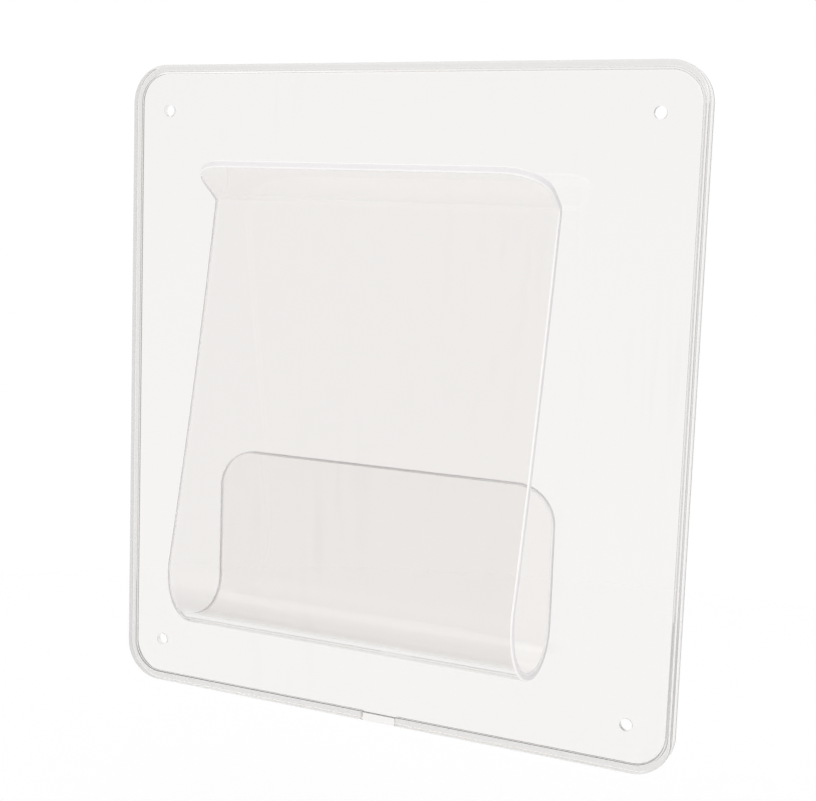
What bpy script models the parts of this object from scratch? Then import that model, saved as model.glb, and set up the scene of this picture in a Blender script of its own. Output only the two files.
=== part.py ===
"""Clear wall chart holder: a shallow moulded back plate with a bent strap bonded to its face.

Units are metres. +Z is up, the wall lies in the plane Y = 0, and the holder stands out towards -Y.
The origin is the middle of the plate, on the wall.
"""
import math

import bmesh
import bpy
from mathutils import Vector

# Back plate: a tray whose low rim turns back to the wall
PLATE_WIDTH = 0.251
PLATE_HEIGHT = 0.2704
PLATE_DEPTH = 0.006
PLATE_SKIN = 0.0025
RIM_WALL = 0.0025
PLATE_CORNER_RADIUS = 0.016
PLATE_EDGE_ROUND = 0.0012

# Screw holes, one near each corner of the plate
HOLE_DIAMETER = 0.0048
HOLE_SIDE_INSET = 0.0185
HOLE_END_INSET = 0.0192

# Relief in the lower run of the rim
RELIEF_WIDTH = 0.016
RELIEF_DEPTH = 0.0028

# Strap: one sheet, bent up at the foot, round the pocket's floor and out at the lip
STRAP_WIDTH = 0.150
STRAP_THICKNESS = 0.0032
STRAP_FLOOR_HEIGHT = 0.037
BOND_GAP = 0.0003
FOOT_LENGTH = 0.055
FOOT_CORNER_RADIUS = 0.016
REAR_BEND_RADIUS = 0.017
FRONT_BEND_RADIUS = 0.0265
PANEL_LENGTH = 0.1471
PANEL_BOW = 0.0012
PANEL_LEAN = math.radians(11.7)
CREASE_RADIUS = 0.0010
LIP_LENGTH = 0.0249
LIP_CORNER_RADIUS = 0.016
LIP_ANGLE = math.radians(52.2)
LIP_CURL = math.radians(15.3)

# Clear glossy plastic, as near to colourless as the photograph shows
PLASTIC_TINT = (0.95, 0.95, 0.96)
PLASTIC_ROUGHNESS = 0.04
PLASTIC_IOR = 1.5

# How finely round shapes are cut, and the angle above which an edge stays sharp
CORNER_SEGMENTS = 10
EDGE_SEGMENTS = 3
HOLE_SEGMENTS = 32
BEND_STEP = math.radians(6.5)
GENTLE_STEP = math.radians(1.0)
GENTLE_TURN = math.radians(15.0)
SHARP_ANGLE = math.radians(30.0)

# How far a cutter reaches past the faces that it cuts
CUT_OVERRUN = 0.002


def clear_scene():
    """Remove every object that the scene starts with."""
    for item in list(bpy.data.objects):
        bpy.data.objects.remove(item, do_unlink=True)


def clear_plastic(name):
    """Clear glossy plastic as a Principled material."""
    material = bpy.data.materials.new(name)
    material.use_nodes = True
    shader = material.node_tree.nodes["Principled BSDF"]
    shader.inputs["Base Color"].default_value = (*PLASTIC_TINT, 1.0)
    shader.inputs["Roughness"].default_value = PLASTIC_ROUGHNESS
    shader.inputs["Metallic"].default_value = 0.0
    shader.inputs["IOR"].default_value = PLASTIC_IOR
    shader.inputs["Transmission Weight"].default_value = 1.0
    return material


def object_from_bmesh(name, bm, material=None):
    """Turn a finished bmesh into an object in the scene."""
    mesh = bpy.data.meshes.new(name)
    bm.to_mesh(mesh)
    bm.free()
    item = bpy.data.objects.new(name, mesh)
    bpy.context.scene.collection.objects.link(item)
    if material is not None:
        mesh.materials.append(material)
    return item


def smooth_round_faces(item):
    """Shade the round stretches smooth and keep the true edges sharp."""
    item.data.shade_smooth()
    item.data.set_sharp_from_angle(angle=SHARP_ANGLE)


def rounded_slab(width, depth, height, corner_radius):
    """A slab, front towards -Y, whose four corners are rounded in the plane of the wall."""
    bm = bmesh.new()
    bmesh.ops.create_cube(bm, size=1.0)
    bmesh.ops.scale(bm, vec=(width, depth, height), verts=bm.verts)
    corner_edges = [edge for edge in bm.edges if runs_along_y(edge)]
    bmesh.ops.bevel(bm, geom=corner_edges, offset=corner_radius, offset_type='OFFSET',
                    segments=CORNER_SEGMENTS, profile=0.5, affect='EDGES', material=-1)
    return bm


def runs_along_y(edge):
    """True for an edge that points straight away from the wall."""
    run = edge.verts[1].co - edge.verts[0].co
    return abs(run.y) > abs(run.x) + abs(run.z)


def cut_with(item, cutter):
    """Take a cutter's shape out of an object, and keep the cutter as a hidden guide."""
    cutter.hide_render = True
    cutter.display_type = 'WIRE'
    cut = item.modifiers.new(cutter.name, 'BOOLEAN')
    cut.operation = 'DIFFERENCE'
    cut.solver = 'EXACT'
    cut.object = cutter


def make_hole_cutter():
    """Four round pins, one at each screw hole."""
    bm = bmesh.new()
    reach = PLATE_DEPTH + 2.0 * CUT_OVERRUN
    across = PLATE_WIDTH / 2.0 - HOLE_SIDE_INSET
    up = PLATE_HEIGHT / 2.0 - HOLE_END_INSET
    for side in (-1.0, 1.0):
        for end in (-1.0, 1.0):
            pin = bmesh.ops.create_cone(bm, cap_ends=True, segments=HOLE_SEGMENTS, depth=reach,
                                        radius1=HOLE_DIAMETER / 2.0, radius2=HOLE_DIAMETER / 2.0)
            bmesh.ops.rotate(bm, verts=pin["verts"], matrix=turn_towards_wall())
            bmesh.ops.translate(bm, verts=pin["verts"],
                                vec=(side * across, -PLATE_DEPTH / 2.0, end * up))
    return object_from_bmesh("cut_screw_holes", bm)


def turn_towards_wall():
    """Turn a shape that stands along Z so that it points along Y."""
    return Vector((0.0, 0.0, 1.0)).rotation_difference(Vector((0.0, 1.0, 0.0))).to_matrix()


def make_relief_cutter():
    """A block that cuts back the rear edge of the rim's lower run."""
    bm = bmesh.new()
    bmesh.ops.create_cube(bm, size=1.0)
    depth = RELIEF_DEPTH + CUT_OVERRUN
    height = RIM_WALL + 2.0 * CUT_OVERRUN
    bmesh.ops.scale(bm, vec=(RELIEF_WIDTH, depth, height), verts=bm.verts)
    middle_y = -RELIEF_DEPTH + depth / 2.0
    middle_z = -PLATE_HEIGHT / 2.0 + RIM_WALL / 2.0
    bmesh.ops.translate(bm, verts=bm.verts, vec=(0.0, middle_y, middle_z))
    return object_from_bmesh("cut_rim_relief", bm)


def make_back_plate():
    """The moulded plate: a flat skin in front, and a rim behind that spaces it off the wall."""
    bm = rounded_slab(PLATE_WIDTH, PLATE_DEPTH, PLATE_HEIGHT, PLATE_CORNER_RADIUS)
    bm.normal_update()
    wall_face = max(bm.faces, key=lambda face: face.calc_center_median().y)
    bmesh.ops.inset_region(bm, faces=[wall_face], thickness=RIM_WALL, use_even_offset=True)
    hollow = bmesh.ops.extrude_discrete_faces(bm, faces=[wall_face])["faces"][0]
    bmesh.ops.translate(bm, verts=hollow.verts, vec=(0.0, PLATE_SKIN - PLATE_DEPTH, 0.0))
    front_face = min(bm.faces, key=lambda face: face.calc_center_median().y)
    bmesh.ops.bevel(bm, geom=list(front_face.edges), offset=PLATE_EDGE_ROUND,
                    offset_type='OFFSET', segments=EDGE_SEGMENTS, profile=0.5,
                    affect='EDGES', material=-1)
    bmesh.ops.translate(bm, verts=bm.verts, vec=(0.0, -PLATE_DEPTH / 2.0, 0.0))
    plate = object_from_bmesh("back_plate", bm, clear_plastic("clear_plate"))
    cut_with(plate, make_hole_cutter())
    cut_with(plate, make_relief_cutter())
    smooth_round_faces(plate)
    return plate


def strap_runs():
    """The bent sheet's middle surface as (length, turn) runs, from the foot's top to the lip."""
    half = STRAP_THICKNESS / 2.0
    bow_turn = 4.0 * PANEL_BOW / PANEL_LENGTH
    rear_turn = math.pi / 2.0
    front_turn = math.pi / 2.0 + PANEL_LEAN + bow_turn
    crease_turn = PANEL_LEAN - bow_turn + LIP_ANGLE
    return [
        (FOOT_LENGTH, 0.0),
        ((REAR_BEND_RADIUS - half) * rear_turn, rear_turn),
        ((FRONT_BEND_RADIUS - half) * front_turn, front_turn),
        (PANEL_LENGTH, -2.0 * bow_turn),
        ((CREASE_RADIUS + half) * crease_turn, -crease_turn),
        (LIP_LENGTH, -LIP_CURL),
    ]


def strap_cut_lines():
    """Distances along the sheet at which it is creased, so that each bend is cut finely."""
    lines = []
    start = 0.0
    for length, turn in strap_runs():
        step = GENTLE_STEP if abs(turn) < GENTLE_TURN else BEND_STEP
        pieces = max(1, math.ceil(abs(turn) / step))
        for index in range(pieces):
            lines.append(start + length * index / pieces)
        start += length
    return lines[1:]


def strap_point(distance):
    """Where a point of the flat sheet lands, as (y, z), once the sheet is bent."""
    y = -PLATE_DEPTH - BOND_GAP - STRAP_THICKNESS / 2.0
    z = -PLATE_HEIGHT / 2.0 + STRAP_FLOOR_HEIGHT + REAR_BEND_RADIUS + FOOT_LENGTH
    heading = 0.0
    for length, turn in strap_runs():
        part = max(0.0, min(length, distance))
        partial_turn = turn * part / length
        middle = heading + partial_turn / 2.0
        chord = part
        if abs(partial_turn) > 0.0:
            chord = 2.0 * part / partial_turn * math.sin(partial_turn / 2.0)
        y -= chord * math.sin(middle)
        z -= chord * math.cos(middle)
        heading += turn
        distance -= length
        if distance <= 0.0:
            break
    return y, z


def round_corners(bm, corners, radius):
    """Round the corners at one end of the flat sheet."""
    bmesh.ops.bevel(bm, geom=corners, offset=radius, offset_type='OFFSET',
                    segments=CORNER_SEGMENTS, profile=0.5, affect='VERTICES', material=-1)


def flat_sheet(width, length):
    """The strap as it is cut out: flat, its foot end at Y = 0, with four round corners."""
    bm = bmesh.new()
    bmesh.ops.create_grid(bm, x_segments=1, y_segments=1, size=1.0)
    bmesh.ops.scale(bm, vec=(width / 2.0, length / 2.0, 1.0), verts=bm.verts)
    foot_corners = [vert for vert in bm.verts if vert.co.y < 0.0]
    lip_corners = [vert for vert in bm.verts if vert.co.y > 0.0]
    round_corners(bm, foot_corners, FOOT_CORNER_RADIUS)
    round_corners(bm, lip_corners, LIP_CORNER_RADIUS)
    bmesh.ops.translate(bm, verts=bm.verts, vec=(0.0, length / 2.0, 0.0))
    return bm


def crease_sheet(bm, distances):
    """Cut the sheet straight across at each distance, so that it can bend there."""
    for distance in distances:
        bmesh.ops.bisect_plane(bm, geom=bm.verts[:] + bm.edges[:] + bm.faces[:],
                               plane_co=(0.0, distance, 0.0), plane_no=(0.0, 1.0, 0.0))


def make_front_strap():
    """The strap: a flat sheet bent along lines that cross it, then given its thickness."""
    bm = flat_sheet(STRAP_WIDTH, sum(length for length, turn in strap_runs()))
    outline = sorted(vert.co.y for vert in bm.verts if vert.co.x > 0.0)
    crease_sheet(bm, strap_cut_lines() + outline[1:-1])
    for vert in bm.verts:
        y, z = strap_point(vert.co.y)
        vert.co = (vert.co.x, y, z)
    strap = object_from_bmesh("front_strap", bm, clear_plastic("clear_strap"))
    thicken = strap.modifiers.new("sheet thickness", 'SOLIDIFY')
    thicken.thickness = STRAP_THICKNESS
    thicken.offset = 0.0
    thicken.use_even_offset = True
    smooth_round_faces(strap)
    return strap


clear_scene()
make_back_plate()
make_front_strap()
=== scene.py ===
# %% [markdown]
# # A clear wall chart holder
#
# The real holder is two pieces of clear plastic. A shallow moulded tray sits against the wall
# with its hollow side to the back, and a bent sheet stands off its face as the pocket.
# Both are already packed as solids, so this script loads those solids as a fixed frame and
# dresses them: finer meshes for the looks, a finish for each, a floor, soft light and a camera.

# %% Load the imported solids
import math

import bmesh
import bpy
from mathutils import Matrix, Vector


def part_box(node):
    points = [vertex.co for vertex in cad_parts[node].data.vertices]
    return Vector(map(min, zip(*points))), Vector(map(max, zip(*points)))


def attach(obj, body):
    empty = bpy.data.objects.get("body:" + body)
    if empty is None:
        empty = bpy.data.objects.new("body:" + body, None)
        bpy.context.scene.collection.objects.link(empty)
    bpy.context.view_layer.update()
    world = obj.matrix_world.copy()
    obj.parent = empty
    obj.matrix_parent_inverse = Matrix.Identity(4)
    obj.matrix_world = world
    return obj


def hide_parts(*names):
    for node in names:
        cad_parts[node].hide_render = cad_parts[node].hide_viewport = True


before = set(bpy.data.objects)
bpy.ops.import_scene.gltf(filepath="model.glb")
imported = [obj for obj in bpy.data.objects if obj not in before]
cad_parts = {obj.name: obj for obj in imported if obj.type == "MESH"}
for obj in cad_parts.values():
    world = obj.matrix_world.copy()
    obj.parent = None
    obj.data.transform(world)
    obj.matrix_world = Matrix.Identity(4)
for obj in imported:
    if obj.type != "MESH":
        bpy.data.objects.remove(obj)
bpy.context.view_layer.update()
MM = 0.001
QUARTER_TURN = math.radians(90)

# %% [markdown]
# ## Sizes that come from the solids
#
# A dressed piece has to sit exactly where its solid sits. The safest way is to read the solid's
# box and build outwards from its numbers, so that nothing is typed twice. The wall is the plane
# Y = 0, the room is towards -Y, and the origin is the middle of the plate.

# %% Read the sizes of the plate and the strap
plate_low, plate_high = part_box("back_plate")
strap_low, strap_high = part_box("front_strap")
plate_size = plate_high - plate_low
strap_width = strap_high.x - strap_low.x
print(f"plate {plate_size.x / MM:.1f} x {plate_size.y / MM:.1f} x {plate_size.z / MM:.1f} mm,",
      f"strap {strap_width / MM:.1f} mm wide")

# %% [markdown]
# ## The camera
#
# The holder is seen from a little to its right and a little above. Fitting the plate's corners
# and the strap's edges to the picture gave the camera's place, its three angles and its lens.
# Three turns are easy to read when each is its own matrix: roll first, then tilt, then pan.

# %% Place the camera
CAMERA_PLACE = Vector((0.2535, -0.5300, 0.0770))
CAMERA_PAN = math.radians(24.93)
CAMERA_TILT_DOWN = math.radians(7.43)
CAMERA_ROLL = math.radians(2.03)
PICTURE_WIDTH_PX = 816
FOCAL_LENGTH_PX = 1448.7
SENSOR_WIDTH_MM = 36.0
NEAR_LIMIT = 10 * MM

lens = bpy.data.cameras.new("camera")
lens.sensor_fit = 'HORIZONTAL'
lens.sensor_width = SENSOR_WIDTH_MM
lens.lens = SENSOR_WIDTH_MM * FOCAL_LENGTH_PX / PICTURE_WIDTH_PX
lens.clip_start = NEAR_LIMIT
camera = bpy.data.objects.new("camera", lens)
turn = (Matrix.Rotation(CAMERA_PAN, 4, 'Z')
        @ Matrix.Rotation(QUARTER_TURN - CAMERA_TILT_DOWN, 4, 'X')
        @ Matrix.Rotation(CAMERA_ROLL, 4, 'Z'))
camera.matrix_world = Matrix.Translation(CAMERA_PLACE) @ turn
bpy.context.scene.collection.objects.link(camera)
bpy.context.scene.camera = camera
print(f"lens {lens.lens:.1f} mm, {CAMERA_PLACE.length / MM:.0f} mm from the middle of the plate")

# %% [markdown]
# ## From a bmesh to a finished piece
#
# Every piece ends the same way: its mesh is stored, its round stretches are shaded smooth and
# its true edges stay crisp. Faces must point outwards, because a clear material bends the light
# by asking which side is inside. Blender guesses that from the face farthest out, and guesses
# wrong on a bent sheet, so the volume is measured too: a negative one means inside out.

# %% Helpers that shade and finish a piece
CRISP_ANGLE = math.radians(35)


def shade(mesh):
    """Smooth shading over the rounds, crisp at the true edges."""
    mesh.shade_smooth()
    mesh.set_sharp_from_angle(angle=CRISP_ANGLE)


def finish_piece(name, bm, materials):
    """Store a bmesh as a piece of the object, with its finishes, and shade it."""
    bmesh.ops.recalc_face_normals(bm, faces=bm.faces)
    if bm.calc_volume(signed=True) < 0.0:
        bmesh.ops.reverse_faces(bm, faces=bm.faces)
    mesh = bpy.data.meshes.new(name)
    bm.to_mesh(mesh)
    bm.free()
    for material in materials:
        mesh.materials.append(material)
    shade(mesh)
    piece = bpy.data.objects.new(name, mesh)
    bpy.context.scene.collection.objects.link(piece)
    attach(piece, "root")
    return piece


# %% [markdown]
# On clear plastic the shading normals matter more than on anything opaque, because they bend
# the light that goes through. A Weighted Normal modifier keeps the large flat faces perfectly
# flat and leaves all the rounding to the narrow faces along the edges.

# %% A helper that keeps flat faces flat
FLAT_FACE_WEIGHT = 90


def keep_flats_flat(piece):
    """Let the large faces decide the shading normals where they meet small ones."""
    weighted = piece.modifiers.new("keep the flat faces flat", 'WEIGHTED_NORMAL')
    weighted.keep_sharp = True
    weighted.weight = FLAT_FACE_WEIGHT


print(f"edges sharper than {math.degrees(CRISP_ANGLE):.0f} degrees stay crisp")

# %% [markdown]
# ## Building materials in code
#
# A material is a small machine of nodes and wires. Four helpers keep its cells readable: one
# adds a node with its settings and plain values, one joins outputs to inputs, and two start a
# new group and a new material.

# %% Helpers for nodes and wires
def add_node(tree, kind, values=None, **settings):
    """A new node with some settings, and plain values in some of its inputs."""
    node = tree.nodes.new(kind)
    for name, setting in settings.items():
        setattr(node, name, setting)
    for name, value in (values or {}).items():
        node.inputs[name].default_value = value
    return node


def wire_up(tree, *pairs):
    """Join each output to its input."""
    for output, socket in pairs:
        tree.links.new(output, socket)


def new_group(name, inputs, outputs):
    """An empty shader group with float inputs and outputs, and its two end nodes."""
    group = bpy.data.node_groups.new(name, 'ShaderNodeTree')
    for title, default in inputs:
        socket = group.interface.new_socket(title, in_out='INPUT', socket_type='NodeSocketFloat')
        socket.default_value = default
    for title in outputs:
        group.interface.new_socket(title, in_out='OUTPUT', socket_type='NodeSocketFloat')
    return group, add_node(group, 'NodeGroupInput'), add_node(group, 'NodeGroupOutput')


def new_material(name):
    """A material with its node tree and its Principled shader."""
    material = bpy.data.materials.new(name)
    material.use_nodes = True
    return material, material.node_tree, material.node_tree.nodes["Principled BSDF"]


print("helpers: add_node, wire_up, new_group, new_material")

# %% [markdown]
# ## The waviness of a sheet
#
# Clear plastic is never optically perfect. A moulded or heated sheet has a faint waviness that
# bends reflections. It could be an image, but noise in the object's own metres never stretches
# and never repeats. It is a node group, because every finish here uses it with other values:
# slow waves, with a share of waves nine times finer on top. A finish that sets no values of its
# own gets the group's.

# %% A node group for the waviness
USUAL_WAVES = 25.0
USUAL_FINE_SHARE = 0.2
FINER_BY = 9.0
SLOW_DETAIL = 1.0
FINE_DETAIL = 2.0


def make_waviness_group():
    """Height of slow waves with finer ones on top, from 0 to 1."""
    inputs = [("Waves per metre", USUAL_WAVES), ("Fine share", USUAL_FINE_SHARE)]
    group, given, result = new_group("sheet waviness", inputs, ["Height"])
    place = add_node(group, 'ShaderNodeTexCoord')
    slow = add_node(group, 'ShaderNodeTexNoise', {"Detail": SLOW_DETAIL})
    fine = add_node(group, 'ShaderNodeTexNoise', {"Detail": FINE_DETAIL})
    faster = add_node(group, 'ShaderNodeMath', {1: FINER_BY}, operation='MULTIPLY')
    blend = add_node(group, 'ShaderNodeMix')
    wire_up(group,
            (place.outputs["Object"], slow.inputs["Vector"]),
            (place.outputs["Object"], fine.inputs["Vector"]),
            (given.outputs["Waves per metre"], slow.inputs["Scale"]),
            (given.outputs["Waves per metre"], faster.inputs[0]),
            (faster.outputs[0], fine.inputs["Scale"]),
            (given.outputs["Fine share"], blend.inputs["Factor"]),
            (slow.outputs["Fac"], blend.inputs["A"]),
            (fine.outputs["Fac"], blend.inputs["B"]),
            (blend.outputs["Result"], result.inputs["Height"]))
    return group


waviness = make_waviness_group()
print("group:", waviness.name, [socket.name for socket in waviness.interface.items_tree])

# %% [markdown]
# ## Rub marks
#
# Handling leaves a haze of fine marks that only shows as a change in gloss. Two noises are
# multiplied: broad smudges say where the plastic was touched, and noise stretched to nearly
# seventeen times its length draws the marks themselves, all running the same slanting way. Each
# noise is cut off below a level and full above another, which leaves clear plastic in between.

# %% A node group for the rub marks
SMUDGES_PER_METRE = 14.0
SMUDGE_DETAIL = 3.0
SMUDGE_STARTS = 0.45
SMUDGE_FULL = 0.75
MARKS_PER_METRE = 260.0
MARK_DETAIL = 1.0
MARK_STARTS = 0.58
MARK_FULL = 0.72
MARK_SLANT = math.radians(62)
MARK_SQUEEZE = 0.06


def make_rub_group():
    """A mask of soft smudges crossed by fine marks, mostly 0 and seldom near 1."""
    inputs = [("Smudges per metre", SMUDGES_PER_METRE), ("Marks per metre", MARKS_PER_METRE)]
    group, given, result = new_group("rub marks", inputs, ["Mask"])
    place = add_node(group, 'ShaderNodeTexCoord')
    stretch = add_node(group, 'ShaderNodeMapping', {
        "Rotation": (0.0, MARK_SLANT, 0.0), "Scale": (1.0, 1.0, MARK_SQUEEZE)})
    smudge = add_node(group, 'ShaderNodeTexNoise', {"Detail": SMUDGE_DETAIL})
    marks = add_node(group, 'ShaderNodeTexNoise', {"Detail": MARK_DETAIL})
    soft = add_node(group, 'ShaderNodeMapRange', {
        "From Min": SMUDGE_STARTS, "From Max": SMUDGE_FULL})
    thin = add_node(group, 'ShaderNodeMapRange', {
        "From Min": MARK_STARTS, "From Max": MARK_FULL})
    both = add_node(group, 'ShaderNodeMath', operation='MULTIPLY')
    wire_up(group,
            (place.outputs["Object"], smudge.inputs["Vector"]),
            (place.outputs["Object"], stretch.inputs["Vector"]),
            (stretch.outputs["Vector"], marks.inputs["Vector"]),
            (given.outputs["Smudges per metre"], smudge.inputs["Scale"]),
            (given.outputs["Marks per metre"], marks.inputs["Scale"]),
            (smudge.outputs["Fac"], soft.inputs["Value"]),
            (marks.outputs["Fac"], thin.inputs["Value"]),
            (soft.outputs["Result"], both.inputs[0]),
            (thin.outputs["Result"], both.inputs[1]),
            (both.outputs[0], result.inputs["Mask"]))
    return group


rub_marks = make_rub_group()
print("group:", rub_marks.name, [socket.name for socket in rub_marks.interface.items_tree])

# %% [markdown]
# ## The clear plastic
#
# Clear plastic is a Principled shader with full transmission. Its tint is close to white, since
# the sheet is thin and colourless, and what we really see are its reflections and the way its
# edges bend the light. The tint works at every surface that the light crosses, so a look
# through several layers comes out a little greyer than a look through one, as it does on the
# real holder. The waviness drives a Bump node, and the rub marks drive the roughness.

# %% A maker for the clear plastics
PLASTIC_IOR = 1.5
RUBBED_TINT = 0.97


def darker(tint, share):
    """The same tint at a share of its brightness, as an opaque colour."""
    return (*(channel * share for channel in tint), 1.0)


def clear_plastic(name, tint, polish, rubbed, waves, wave_height):
    """Clear plastic whose roughness goes from polish to rubbed, with a faint waviness."""
    material, tree, shader = new_material(name)
    shader.inputs["Transmission Weight"].default_value = 1.0
    shader.inputs["IOR"].default_value = PLASTIC_IOR
    marks = add_node(tree, 'ShaderNodeGroup', node_tree=rub_marks)
    gloss = add_node(tree, 'ShaderNodeMapRange', {"To Min": polish, "To Max": rubbed})
    colour = add_node(tree, 'ShaderNodeMix', data_type='RGBA')
    colour.inputs["A"].default_value = darker(tint, 1.0)
    colour.inputs["B"].default_value = darker(tint, RUBBED_TINT)
    wavy = add_node(tree, 'ShaderNodeGroup', node_tree=waviness)
    wavy.inputs["Waves per metre"].default_value = waves
    bump = add_node(tree, 'ShaderNodeBump', {"Distance": wave_height})
    wire_up(tree,
            (marks.outputs["Mask"], gloss.inputs["Value"]),
            (marks.outputs["Mask"], colour.inputs["Factor"]),
            (wavy.outputs["Height"], bump.inputs["Height"]),
            (gloss.outputs["Result"], shader.inputs["Roughness"]),
            (colour.outputs["Result"], shader.inputs["Base Color"]),
            (bump.outputs["Normal"], shader.inputs["Normal"]))
    return material


moulded_clear = clear_plastic("moulded clear plastic", tint=(0.952, 0.936, 0.924), polish=0.015,
                              rubbed=0.10, waves=26.0, wave_height=0.06 * MM)
sheet_clear = clear_plastic("bent clear sheet", tint=(0.982, 0.973, 0.965), polish=0.010,
                            rubbed=0.08, waves=18.0, wave_height=0.05 * MM)
print("plastics:", moulded_clear.name, "and", sheet_clear.name)

# %% [markdown]
# ## The matte land of the rim
#
# The narrow face with which the rim meets the wall isn't polished in the mould, so it scatters
# light. Its tint is also set darker as painted shade, and through the clear front it shows as a
# soft grey band that runs right round the plate. It is the same plastic, so the same maker builds
# it, with a rougher setting and a darker painted tint.

# %% Make the matte plastic
# the darker tint is painted shade; the higher roughness is the land's real matte finish
matte_land_with_painted_shade = clear_plastic("matte rim land with painted shade", tint=(0.74, 0.735, 0.73), polish=0.38,
                           rubbed=0.50, waves=60.0, wave_height=0.03 * MM)
print("rim:", matte_land_with_painted_shade.name)

# %% [markdown]
# ## The sawn edge and its rounded arrises
#
# A clear sheet gives itself away at its edges. The saw leaves a satin, slightly milky face, and
# the two arrises beside it are eased with a flame or a scraper. Their thin bright lines are
# partly their rounding and partly a painted highlight, since the arris finish gets a whiter tint
# than the sawn face, whose greyer tint is painted shade. A Principled shader only reflects on the
# side it is seen from, while a real milky edge also lets the light of the room in. So the inner
# side of this face, which Backfacing picks out, gets a painted glow, an emission of its own, and
# the far edge looks pale through the sheet.

# %% A maker for the edges
EDGE_WAVES = 120.0
EDGE_FINE_SHARE = 0.5
EDGE_WAVE_HEIGHT = 0.05 * MM
HOLLOW_TINT = 0.93
SATIN_SPREAD = 0.2
PAINTED_INNER_GLOW = 0.33
BLACK = (0.0, 0.0, 0.0, 1.0)


def milky_edge(name, tint, clearness, roughness):
    """A partly milky satin edge of a clear sheet, with a painted glow on its inner side."""
    material, tree, shader = new_material(name)
    shader.inputs["Transmission Weight"].default_value = clearness
    shader.inputs["IOR"].default_value = PLASTIC_IOR
    # painted glow: emission on the inner side, standing in for room light let through the edge
    shader.inputs["Emission Strength"].default_value = PAINTED_INNER_GLOW
    wavy = add_node(tree, 'ShaderNodeGroup', node_tree=waviness)
    wavy.inputs["Waves per metre"].default_value = EDGE_WAVES
    wavy.inputs["Fine share"].default_value = EDGE_FINE_SHARE
    colour = add_node(tree, 'ShaderNodeMix', data_type='RGBA')
    colour.inputs["A"].default_value = darker(tint, 1.0)
    colour.inputs["B"].default_value = darker(tint, HOLLOW_TINT)
    satin = add_node(tree, 'ShaderNodeMapRange', {
        "To Min": roughness * (1.0 - SATIN_SPREAD), "To Max": roughness * (1.0 + SATIN_SPREAD)})
    bump = add_node(tree, 'ShaderNodeBump', {"Distance": EDGE_WAVE_HEIGHT})
    side = add_node(tree, 'ShaderNodeNewGeometry')
    painted_inner_glow = add_node(tree, 'ShaderNodeMix', data_type='RGBA')
    painted_inner_glow.inputs["A"].default_value = BLACK
    wire_up(tree,
            (wavy.outputs["Height"], colour.inputs["Factor"]),
            (wavy.outputs["Height"], satin.inputs["Value"]),
            (wavy.outputs["Height"], bump.inputs["Height"]),
            (side.outputs["Backfacing"], painted_inner_glow.inputs["Factor"]),
            (colour.outputs["Result"], painted_inner_glow.inputs["B"]),
            (painted_inner_glow.outputs["Result"], shader.inputs["Emission Color"]),
            (colour.outputs["Result"], shader.inputs["Base Color"]),
            (satin.outputs["Result"], shader.inputs["Roughness"]),
            (bump.outputs["Normal"], shader.inputs["Normal"]))
    return material


# the sawn face's greyer tint is painted shade, the arrises' whiter tint a painted highlight
sawn_edge_with_painted_shade = milky_edge("sawn sheet edge", tint=(0.865, 0.840, 0.848), clearness=0.10,
                       roughness=0.32)
rounded_arris_with_painted_highlight = milky_edge("rounded arris", tint=(0.99, 0.975, 0.968), clearness=0.05,
                           roughness=0.22)
print("edges:", sawn_edge_with_painted_shade.name, "and", rounded_arris_with_painted_highlight.name)

# %% [markdown]
# ## The back plate
#
# The real plate is injection moulded: a thin skin in front and a low rim that turns back to the
# wall. We start from a block, round its four corners, inset the face that meets the wall and
# push that inset in. That leaves the skin and the rim in one closed mesh, which is how the
# plastic fills the mould.

# %% Build the tray
PLATE_SKIN = 2.5 * MM
RIM_WALL = 2.5 * MM
CORNER_RADIUS = 16.0 * MM
CORNER_STEPS = 24
ROUND_PROFILE = 0.5
SAME_PLANE = 0.01 * MM


def edges_along_y(bm):
    """The edges that point straight away from the wall."""
    found = []
    for edge in bm.edges:
        run = edge.verts[1].co - edge.verts[0].co
        if abs(run.y) > abs(run.x) + abs(run.z):
            found.append(edge)
    return found


def lies_at(part, y):
    """Whether an edge or a face lies in the plane Y = y."""
    return all(abs(vert.co.y - y) < SAME_PLANE for vert in part.verts)


def face_at(bm, y):
    """The large face that lies in the plane Y = y."""
    return max((face for face in bm.faces if lies_at(face, y)), key=lambda face: face.calc_area())


def round_edges(bm, edges, radius, steps):
    """A round along the given edges."""
    bmesh.ops.bevel(bm, geom=list(edges), offset=radius, offset_type='OFFSET', segments=steps,
                    profile=ROUND_PROFILE, affect='EDGES', material=-1, clamp_overlap=True)


def build_tray():
    """Skin and rim as one closed bmesh, and the face at the bottom of the hollow."""
    bm = bmesh.new()
    bmesh.ops.create_cube(bm, size=1.0)
    bmesh.ops.scale(bm, vec=plate_size, verts=bm.verts)
    round_edges(bm, edges_along_y(bm), CORNER_RADIUS, CORNER_STEPS)
    bmesh.ops.translate(bm, vec=(plate_low + plate_high) / 2, verts=bm.verts)
    wall_face = face_at(bm, plate_high.y)
    bmesh.ops.inset_region(bm, faces=[wall_face], thickness=RIM_WALL, use_even_offset=True)
    hollow = bmesh.ops.extrude_discrete_faces(bm, faces=[wall_face])["faces"][0]
    bmesh.ops.translate(bm, vec=(0.0, plate_low.y + PLATE_SKIN, 0.0), verts=hollow.verts)
    return bm, hollow


tray, hollow_face = build_tray()
print("tray before rounding:", len(tray.faces), "faces,",
      f"skin {PLATE_SKIN / MM:.1f} mm, rim {plate_size.y / MM:.1f} mm deep")

# %% [markdown]
# ## Rounding the tray
#
# Edges are rounded last, each kind with its own radius: a generous round in front, a fillet
# where the rim grows out of the skin, and a hair's breadth where the rim meets the wall. On
# clear plastic these rounds are what draws the plate, since each shows as a dark and a light
# line. The land that meets the wall is picked out here, while it is easy to find.

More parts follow.
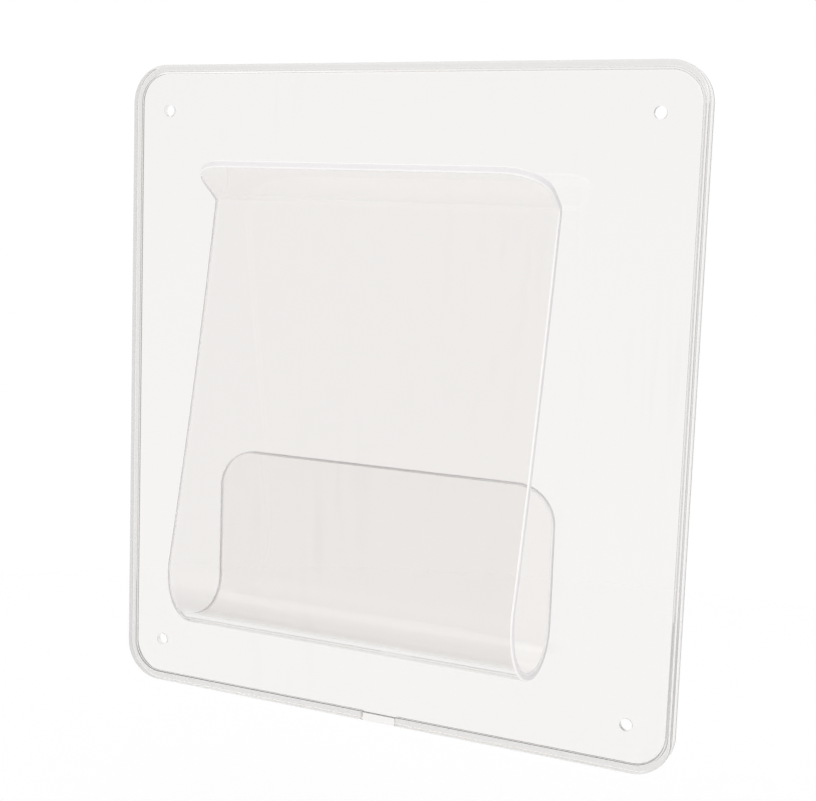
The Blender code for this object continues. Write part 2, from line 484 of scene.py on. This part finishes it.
# %% Round the tray's edges
HOLLOW_FILLET = 2.0 * MM
HOLLOW_STEPS = 12
FRONT_EDGE_ROUND = 1.2 * MM
FRONT_EDGE_STEPS = 6
REAR_EDGE_ROUND = 0.3 * MM
REAR_EDGE_STEPS = 3
TRUE_EDGE = math.radians(60)
POLISHED, LAND = 0, 1

round_edges(tray, hollow_face.edges, HOLLOW_FILLET, HOLLOW_STEPS)
round_edges(tray, face_at(tray, plate_low.y).edges, FRONT_EDGE_ROUND, FRONT_EDGE_STEPS)
rim_edges = [edge for edge in tray.edges
             if lies_at(edge, plate_high.y) and edge.calc_face_angle(0.0) > TRUE_EDGE]
round_edges(tray, rim_edges, REAR_EDGE_ROUND, REAR_EDGE_STEPS)
for face in tray.faces:
    face.material_index = LAND if lies_at(face, plate_high.y) else POLISHED
tray_finishes = [face.material_index for face in tray.faces]
print("tray after rounding:", len(tray_finishes), "faces,", tray_finishes.count(LAND),
      "on the land")
back_plate = finish_piece("clear_back_plate", tray, [moulded_clear, matte_land_with_painted_shade])
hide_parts("back_plate")

# %% [markdown]
# ## Screw holes
#
# Four holes take the wall screws. A hole in a moulding has a small round at its mouth. If the
# tool that cuts it carries that round itself, one Boolean makes hole and round together. The
# tool is a profile spun about the hole's axis, wide at its two ends and straight between.

# %% Make the tool for a hole
HOLE_RADIUS = 2.4 * MM
HOLE_MOUTH_ROUND = 0.35 * MM
HOLE_MOUTH_STEPS = 5
HOLE_TURN_STEPS = 64
CUT_OVERRUN = 1.0 * MM
SAME_POINT = 0.001 * MM


def hole_tool(x, z):
    """A spun pin along Y whose ends flare out with the round of the hole's mouths."""
    bm = bmesh.new()
    front = plate_low.y
    back = plate_low.y + PLATE_SKIN
    wide = HOLE_RADIUS + HOLE_MOUTH_ROUND
    profile = [(0.0, front - CUT_OVERRUN), (wide, front - CUT_OVERRUN), (wide, front)]
    for step in range(1, HOLE_MOUTH_STEPS + 1):
        angle = QUARTER_TURN * step / HOLE_MOUTH_STEPS
        profile.append((wide - HOLE_MOUTH_ROUND * math.sin(angle),
                        front + HOLE_MOUTH_ROUND * (1 - math.cos(angle))))
    for step in range(HOLE_MOUTH_STEPS + 1):
        angle = QUARTER_TURN * step / HOLE_MOUTH_STEPS
        profile.append((HOLE_RADIUS + HOLE_MOUTH_ROUND * (1 - math.cos(angle)),
                        back - HOLE_MOUTH_ROUND * (1 - math.sin(angle))))
    profile += [(wide, back + CUT_OVERRUN), (0.0, back + CUT_OVERRUN)]
    points = [bm.verts.new((x + across, along, z)) for across, along in profile]
    for start, end in zip(points, points[1:]):
        bm.edges.new((start, end))
    bmesh.ops.spin(bm, geom=bm.verts[:] + bm.edges[:], cent=(x, 0.0, z), axis=(0.0, 1.0, 0.0),
                   angle=4 * QUARTER_TURN, steps=HOLE_TURN_STEPS, use_merge=True)
    bmesh.ops.remove_doubles(bm, verts=bm.verts, dist=SAME_POINT)
    bmesh.ops.recalc_face_normals(bm, faces=bm.faces)
    return bm


print(f"hole tool: {2 * HOLE_RADIUS / MM:.1f} mm across,",
      f"with a {HOLE_MOUTH_ROUND / MM:.2f} mm round at its mouths")

# %% [markdown]
# A Boolean modifier does the cutting. Its result is stored as the piece's own mesh straight
# away, so that no tool has to stay in the scene.

# %% Cut the four holes
HOLE_SIDE_INSET = 18.5 * MM
HOLE_END_INSET = 19.2 * MM


def carve(piece, tool_bm):
    """Take a tool's shape out of a piece for good, and throw the tool away."""
    mesh = bpy.data.meshes.new("tool")
    tool_bm.to_mesh(mesh)
    tool_bm.free()
    tool = bpy.data.objects.new("tool", mesh)
    bpy.context.scene.collection.objects.link(tool)
    cut = piece.modifiers.new("cut", 'BOOLEAN')
    cut.operation = 'DIFFERENCE'
    cut.solver = 'EXACT'
    cut.object = tool
    bpy.context.view_layer.update()
    ready = piece.evaluated_get(bpy.context.evaluated_depsgraph_get())
    carved = bpy.data.meshes.new_from_object(ready)
    piece.modifiers.remove(cut)
    piece.data = carved
    bpy.data.objects.remove(tool)


hole_x = plate_high.x - HOLE_SIDE_INSET
hole_z = plate_high.z - HOLE_END_INSET
for side in (-1, 1):
    for end in (-1, 1):
        carve(back_plate, hole_tool(side * hole_x, end * hole_z))
print(f"holes {2 * hole_x / MM:.0f} mm apart across and {2 * hole_z / MM:.1f} mm apart upright")

# %% [markdown]
# ## The relief in the rim
#
# In the middle of its lower run the rim is a little shallower for a short way, probably so that
# a fingertip or a blade can get behind the plate. The tool is a plain block that cuts back the
# rim's rear edge. Its two inner edges are rounded, so the cut leaves no sharp inside corner, as
# a mould wouldn't either. The cuts are the plate's last change of shape, so it is shaded anew
# after them.

# %% Cut the relief
RELIEF_WIDTH = 16.0 * MM
RELIEF_DEPTH = 2.8 * MM
RELIEF_ROUND = 0.8 * MM
RELIEF_STEPS = 6


def relief_tool():
    """A block that cuts back the rear edge of the rim's lower run."""
    bm = bmesh.new()
    bmesh.ops.create_cube(bm, size=1.0)
    depth = RELIEF_DEPTH + CUT_OVERRUN
    height = RIM_WALL + HOLLOW_FILLET + 2 * CUT_OVERRUN
    bmesh.ops.scale(bm, vec=(RELIEF_WIDTH, depth, height), verts=bm.verts)
    inner = [edge for edge in bm.edges
             if all(vert.co.y < 0.0 for vert in edge.verts)
             and abs((edge.verts[1].co - edge.verts[0].co).z) > height / 2]
    round_edges(bm, inner, RELIEF_ROUND, RELIEF_STEPS)
    middle = Vector((0.0, plate_low.y + plate_size.y - RELIEF_DEPTH + depth / 2,
                     plate_low.z + (RIM_WALL + HOLLOW_FILLET) / 2))
    bmesh.ops.translate(bm, vec=middle, verts=bm.verts)
    bmesh.ops.recalc_face_normals(bm, faces=bm.faces)
    return bm


carve(back_plate, relief_tool())
shade(back_plate.data)
keep_flats_flat(back_plate)
print(f"relief {RELIEF_WIDTH / MM:.0f} mm wide and {RELIEF_DEPTH / MM:.1f} mm deep, plate:",
      len(back_plate.data.polygons), "faces")

# %% [markdown]
# ## The strap's path
#
# The strap is one flat sheet, warmed along a few lines and bent. Seen from its end it is a
# chain of straight runs and arcs: down the foot, round the pocket's floor, up the long panel,
# over the crease and out along the lip. Describing it by what a bender sets, a length and a
# turn for each run, keeps every bend tangent to the next by itself. The panel bows a little: a
# shallow bow starts off its straight line by four times its height over its length.

# %% Describe the bends
SHEET_THICKNESS = 3.2 * MM
FOOT_LENGTH = 55.0 * MM
REAR_BEND_RADIUS = 17.0 * MM
FRONT_BEND_RADIUS = 26.5 * MM
PANEL_LENGTH = 147.1 * MM
PANEL_BOW = 1.2 * MM
PANEL_LEAN = math.radians(11.7)
CREASE_RADIUS = 1.0 * MM
LIP_LENGTH = 24.9 * MM
LIP_ANGLE = math.radians(52.2)
LIP_CURL = math.radians(15.3)


def bend_list():
    """(length, turn) of each run of the sheet's middle, from the foot's top to the lip's end."""
    half = SHEET_THICKNESS / 2
    bow_turn = 4 * PANEL_BOW / PANEL_LENGTH
    rear_turn = QUARTER_TURN
    front_turn = QUARTER_TURN + PANEL_LEAN + bow_turn
    crease_turn = PANEL_LEAN - bow_turn + LIP_ANGLE
    return [
        (FOOT_LENGTH, 0.0),
        ((REAR_BEND_RADIUS - half) * rear_turn, rear_turn),
        ((FRONT_BEND_RADIUS - half) * front_turn, front_turn),
        (PANEL_LENGTH, -2 * bow_turn),
        ((CREASE_RADIUS + half) * crease_turn, -crease_turn),
        (LIP_LENGTH, -LIP_CURL),
    ]


sheet_length = sum(length for length, turn in bend_list())
print(f"the sheet is {sheet_length / MM:.1f} mm long before it is bent")

# %% [markdown]
# ## Following the path
#
# To bend the sheet, every point of it needs its new place. We walk down the chain of runs to
# the point's distance. In each run the sheet turns evenly, so the walk goes along the chord of
# an arc: twice the radius times the sine of half the turn. The last step goes off the path at
# right angles by the point's height in the sheet, which keeps the thickness the same everywhere.

# %% Follow the path
BOND_GAP = 0.3 * MM
FLOOR_HEIGHT = 37.0 * MM


def bent_place(distance, height):
    """Where a point of the flat sheet lands: so far along it, so high above its middle."""
    y = plate_low.y - BOND_GAP - SHEET_THICKNESS / 2
    z = plate_low.z + FLOOR_HEIGHT + REAR_BEND_RADIUS + FOOT_LENGTH
    heading = 0.0
    for length, turn in bend_list():
        part = max(0.0, min(length, distance))
        partial = turn * part / length
        chord = part if partial == 0.0 else 2 * part / partial * math.sin(partial / 2)
        y -= chord * math.sin(heading + partial / 2)
        z -= chord * math.cos(heading + partial / 2)
        heading += partial
        distance -= length
        if distance <= 0.0:
            break
    return y + height * math.cos(heading), z - height * math.sin(heading)


lip_y, lip_z = bent_place(sheet_length, 0.0)
print(f"the lip ends {-lip_y / MM:.1f} mm in front of the wall, at height {lip_z / MM:.1f} mm")

# %% [markdown]
# ## The flat sheet
#
# The sheet is made flat first, because that is when it is easy: one rectangle with rounded
# corners, raised to its thickness, with its arrises eased. Three finishes meet here. The two
# large faces are clear, the sawn face between them is satin and painted a little grey, and the
# arrises are painted whiter as a highlight, so each face gets its material from the way it looks:
# up or down, sideways, or in between.

# %% Make the flat sheet
SHEET_CORNER_RADIUS = 16.0 * MM
SHEET_CORNER_STEPS = 28
ARRIS_ROUND = 0.6 * MM
ARRIS_STEPS = 4
NEARLY_LEVEL = 0.999
NEARLY_UPRIGHT = 0.001
CLEAR, SAWN, ARRIS = 0, 1, 2


def flat_sheet():
    """The sheet before it is bent, its foot end at Y = 0 and its middle at Z = 0."""
    bm = bmesh.new()
    bmesh.ops.create_grid(bm, x_segments=1, y_segments=1, size=1.0)
    bmesh.ops.scale(bm, vec=(strap_width / 2, sheet_length / 2, 1.0), verts=bm.verts)
    bmesh.ops.bevel(bm, geom=bm.verts[:], offset=SHEET_CORNER_RADIUS, offset_type='OFFSET',
                    segments=SHEET_CORNER_STEPS, profile=ROUND_PROFILE, affect='VERTICES',
                    material=-1)
    bmesh.ops.translate(bm, vec=(0.0, sheet_length / 2, -SHEET_THICKNESS / 2), verts=bm.verts)
    raised = bmesh.ops.extrude_face_region(bm, geom=bm.faces[:])["geom"]
    bmesh.ops.translate(bm, vec=(0.0, 0.0, SHEET_THICKNESS),
                        verts=[part for part in raised if isinstance(part, bmesh.types.BMVert)])
    level = [edge for edge in bm.edges if edge.verts[0].co.z == edge.verts[1].co.z]
    round_edges(bm, level, ARRIS_ROUND, ARRIS_STEPS)
    bmesh.ops.recalc_face_normals(bm, faces=bm.faces)
    for face in bm.faces:
        slope = abs(face.normal.z)
        face.material_index = (CLEAR if slope > NEARLY_LEVEL
                               else SAWN if slope < NEARLY_UPRIGHT else ARRIS)
    return bm


sheet = flat_sheet()
sheet_finishes = [face.material_index for face in sheet.faces]
print("flat sheet:", sheet_finishes.count(CLEAR), "clear,", sheet_finishes.count(SAWN),
      "sawn and", sheet_finishes.count(ARRIS), "arris faces")

# %% [markdown]
# ## Bending it
#
# A mesh can only bend where it has rows to bend along, so the sheet is cut across at every
# degree of every bend, at least every four millimetres where it only bows, and not at all where
# it stays straight. After that a bend is nothing more than moving every point to its place on
# the path. Cuts and moves keep each face's material, so the clear, sawn and eased faces come out
# of it where they belong.

# %% Cut it across and bend it
BEND_STEP = math.radians(1.0)
LONGEST_ROW = 4.0 * MM


def fold_lines():
    """Distances at which the sheet is cut across, close together in its bends."""
    lines = []
    start = 0.0
    for length, turn in bend_list():
        pieces = math.ceil(max(abs(turn) / BEND_STEP, length / LONGEST_ROW)) if turn else 1
        lines += [start + length * index / pieces for index in range(pieces)]
        start += length
    return lines[1:]


for line in fold_lines():
    bmesh.ops.bisect_plane(sheet, geom=sheet.verts[:] + sheet.edges[:] + sheet.faces[:],
                           plane_co=(0.0, line, 0.0), plane_no=(0.0, 1.0, 0.0))
for vert in sheet.verts:
    vert.co = (vert.co.x, *bent_place(vert.co.y, vert.co.z))
print("cut across", len(fold_lines()), "times and bent")

front_strap = finish_piece("clear_front_strap", sheet,
                           [sheet_clear, sawn_edge_with_painted_shade, rounded_arris_with_painted_highlight])
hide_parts("front_strap")
keep_flats_flat(front_strap)
print("strap:", len(front_strap.data.polygons), "faces")

# %% [markdown]
# ## The surroundings
#
# Clear plastic shows nothing but its surroundings, so they are its real finish. Straight
# through a flat face we look at what lies behind, which should be white. But a white room all
# round would leave the clear edges invisible, so photographers set grey cards and bright boards
# where only the edges mirror them. Light Path's Glossy Depth tells the two looks apart: it
# counts the mirror bounces that a ray has behind it. Before the first one the world is plain
# white, so the holder stays clear from every side. After it the world is a grey room: bright
# overhead and behind the holder, grey in front. Two ramps measure how high and how far back
# the look goes, and the brighter of the two wins.

# %% Make the surroundings
ROOM_LOW = 0.58
ROOM_IN_FRONT = 0.40
ROOM_BEHIND = 0.92
ROOM_OVERHEAD = 0.95
HEIGHT_STOPS = [(-0.20, ROOM_LOW), (0.10, ROOM_IN_FRONT), (0.25, ROOM_IN_FRONT),
                (0.80, ROOM_OVERHEAD)]
FRONT_ENDS = -0.35
BACK_STARTS = 0.15
WHITE = (1.0, 1.0, 1.0, 1.0)
HALF_A_BOUNCE = 0.5
ANYWHERE = 0.5


def mirrored_look(tree):
    """A socket that is 1 once a ray has bounced off a glossy face, and 0 before."""
    path = add_node(tree, 'ShaderNodeLightPath')
    mirrored = add_node(tree, 'ShaderNodeMath', {1: HALF_A_BOUNCE}, operation='GREATER_THAN')
    wire_up(tree, (path.outputs["Glossy Depth"], mirrored.inputs[0]))
    return mirrored.outputs[0]


def grey_ramp(tree, stops):
    """Greys set at places between -1 and 1, and the node that fits those places to a ramp."""
    fit = add_node(tree, 'ShaderNodeMapRange', {"From Min": -1.0})
    ramp = add_node(tree, 'ShaderNodeValToRGB')
    elements = ramp.color_ramp.elements
    while len(elements) < len(stops):
        elements.new(ANYWHERE)
    for element, (place, grey) in zip(elements, stops):
        element.position = (place + 1) / 2
        element.color = (grey, grey, grey, 1.0)
    wire_up(tree, (fit.outputs["Result"], ramp.inputs["Fac"]))
    return fit.inputs["Value"], ramp.outputs["Color"]


def make_surroundings():
    """White to a plain look, and a grey room to a mirrored one."""
    world = bpy.data.worlds.new("white studio")
    world.use_nodes = True
    tree = world.node_tree
    tree.nodes.clear()
    output = add_node(tree, 'ShaderNodeOutputWorld')
    white = add_node(tree, 'ShaderNodeBackground', {"Color": WHITE})
    room = add_node(tree, 'ShaderNodeBackground')
    choose = add_node(tree, 'ShaderNodeMixShader')
    look = add_node(tree, 'ShaderNodeTexCoord')
    parts = add_node(tree, 'ShaderNodeSeparateXYZ')
    height, by_height = grey_ramp(tree, HEIGHT_STOPS)
    backwards = add_node(tree, 'ShaderNodeMapRange', {
        "From Min": FRONT_ENDS, "From Max": BACK_STARTS,
        "To Min": ROOM_IN_FRONT, "To Max": ROOM_BEHIND})
    brighter = add_node(tree, 'ShaderNodeMath', operation='MAXIMUM')
    wire_up(tree,
            (look.outputs["Generated"], parts.inputs["Vector"]),
            (parts.outputs["Z"], height),
            (parts.outputs["Y"], backwards.inputs["Value"]),
            (by_height, brighter.inputs[0]),
            (backwards.outputs["Result"], brighter.inputs[1]),
            (brighter.outputs[0], room.inputs["Color"]),
            (mirrored_look(tree), choose.inputs["Fac"]),
            (white.outputs["Background"], choose.inputs[1]),
            (room.outputs["Background"], choose.inputs[2]),
            (choose.outputs["Shader"], output.inputs["Surface"]))
    return world


bpy.context.scene.world = make_surroundings()
print("surroundings:", bpy.context.scene.world.name)

# %% [markdown]
# ## The floor
#
# The floor plays the same two parts. To a plain look it is a white surface that takes the
# holder's soft shadow. To a mirrored look it carries the room on without a seam: the low grey
# in front, then a dark card under the holder, which draws the thin dark line of the plate's
# lower rim, and a bright board behind it, which keeps the underside of the pocket pale. Card and
# board fade out to the sides, so that no face seen along its length mirrors a hard dark patch.
# The floor gives off exactly those greys, so no lamp can change them.

# %% Make the floor
FLOOR_DROP = 0.16
FLOOR_REACH = 0.9
FLOOR_STEPS = 96
FLOOR_WHITE = (0.98, 0.98, 0.98, 1.0)
FLOOR_ROUGHNESS = 0.9
CARD_GREY = 0.12
FLOOR_STOPS = [(-0.33, ROOM_LOW), (-0.23, CARD_GREY), (-0.07, CARD_GREY), (0.03, ROOM_BEHIND)]
CARD_ENDS = 0.40
CARD_FADED_OUT = 0.60


def floor_paint():
    """White to a plain look, and the card and the board to a mirrored one."""
    material, tree, shader = new_material("pale floor")
    shader.inputs["Roughness"].default_value = FLOOR_ROUGHNESS
    shader.inputs["Specular IOR Level"].default_value = 0.0
    place = add_node(tree, 'ShaderNodeTexCoord')
    parts = add_node(tree, 'ShaderNodeSeparateXYZ')
    along, by_depth = grey_ramp(tree, FLOOR_STOPS)
    sideways = add_node(tree, 'ShaderNodeMath', operation='ABSOLUTE')
    fade = add_node(tree, 'ShaderNodeMapRange', {
        "From Min": CARD_ENDS, "From Max": CARD_FADED_OUT})
    greys = add_node(tree, 'ShaderNodeMix', data_type='RGBA')
    greys.inputs["B"].default_value = (ROOM_LOW, ROOM_LOW, ROOM_LOW, 1.0)
    colour = add_node(tree, 'ShaderNodeMix', data_type='RGBA')
    colour.inputs["A"].default_value = FLOOR_WHITE
    colour.inputs["B"].default_value = BLACK
    mirrored = mirrored_look(tree)
    wire_up(tree,
            (place.outputs["Object"], parts.inputs["Vector"]),
            (parts.outputs["Y"], along),
            (parts.outputs["X"], sideways.inputs[0]),
            (sideways.outputs[0], fade.inputs["Value"]),
            (fade.outputs["Result"], greys.inputs["Factor"]),
            (by_depth, greys.inputs["A"]),
            (mirrored, colour.inputs["Factor"]),
            (colour.outputs["Result"], shader.inputs["Base Color"]),
            (greys.outputs["Result"], shader.inputs["Emission Color"]),
            (mirrored, shader.inputs["Emission Strength"]))
    return material


def make_floor():
    """A wide disc some way below the holder."""
    bm = bmesh.new()
    bmesh.ops.create_circle(bm, cap_ends=True, segments=FLOOR_STEPS, radius=FLOOR_REACH)
    mesh = bpy.data.meshes.new("floor")
    bm.to_mesh(mesh)
    bm.free()
    mesh.materials.append(floor_paint())
    disc = bpy.data.objects.new("floor", mesh)
    disc.location.z = plate_low.z - FLOOR_DROP
    bpy.context.scene.collection.objects.link(disc)
    return disc


make_floor()
print(f"floor {FLOOR_DROP / MM:.0f} mm below the plate")

# %% [markdown]
# ## The lamps
#
# Two large soft boxes, one on each side of the camera, add the highlights that white
# surroundings can't give. They are weak, because the world already lights the holder evenly and
# more light would wash its pale greys out to white.

# %% Place the lamps
LAMP_SIZE = 0.7
LAMP_WATTS = 0.9
LAMP_DISTANCE = 1.1
KEY_DIRECTION = (-0.6, -0.7, 0.9)
FILL_DIRECTION = (0.9, -0.5, 0.5)


def soft_lamp(name, direction):
    """A square soft box that faces the middle of the holder."""
    light = bpy.data.lights.new(name, 'AREA')
    light.shape = 'SQUARE'
    light.size = LAMP_SIZE
    light.energy = LAMP_WATTS
    place = Vector(direction) * LAMP_DISTANCE
    lamp = bpy.data.objects.new(name, light)
    lamp.matrix_world = (Matrix.Translation(place)
                         @ (-place).to_track_quat('-Z', 'Y').to_matrix().to_4x4())
    lamp.visible_camera = False
    bpy.context.scene.collection.objects.link(lamp)
    return lamp


key_lamp = soft_lamp("key lamp", KEY_DIRECTION)
fill_lamp = soft_lamp("fill lamp", FILL_DIRECTION)
print("lamps:", key_lamp.name, "and", fill_lamp.name)

# %% [markdown]
# ## Long ways through the plastic
#
# Light that enters a clear sheet at its edge is trapped in it and zigzags from face to face
# until it reaches the far edge. Across this plate that takes more than fifty bounces. Blender
# gives up long before that and paints such an edge black, so it is allowed more bounces here.
# It costs little, because only the few looks into an edge use them.

# %% Let the light go all the way
MOST_BOUNCES = 96

bpy.context.scene.view_settings.view_transform = 'Standard'
path_limits = bpy.context.scene.cycles
path_limits.max_bounces = MOST_BOUNCES
path_limits.glossy_bounces = MOST_BOUNCES
path_limits.transmission_bounces = MOST_BOUNCES
print("at most", MOST_BOUNCES, "bounces")
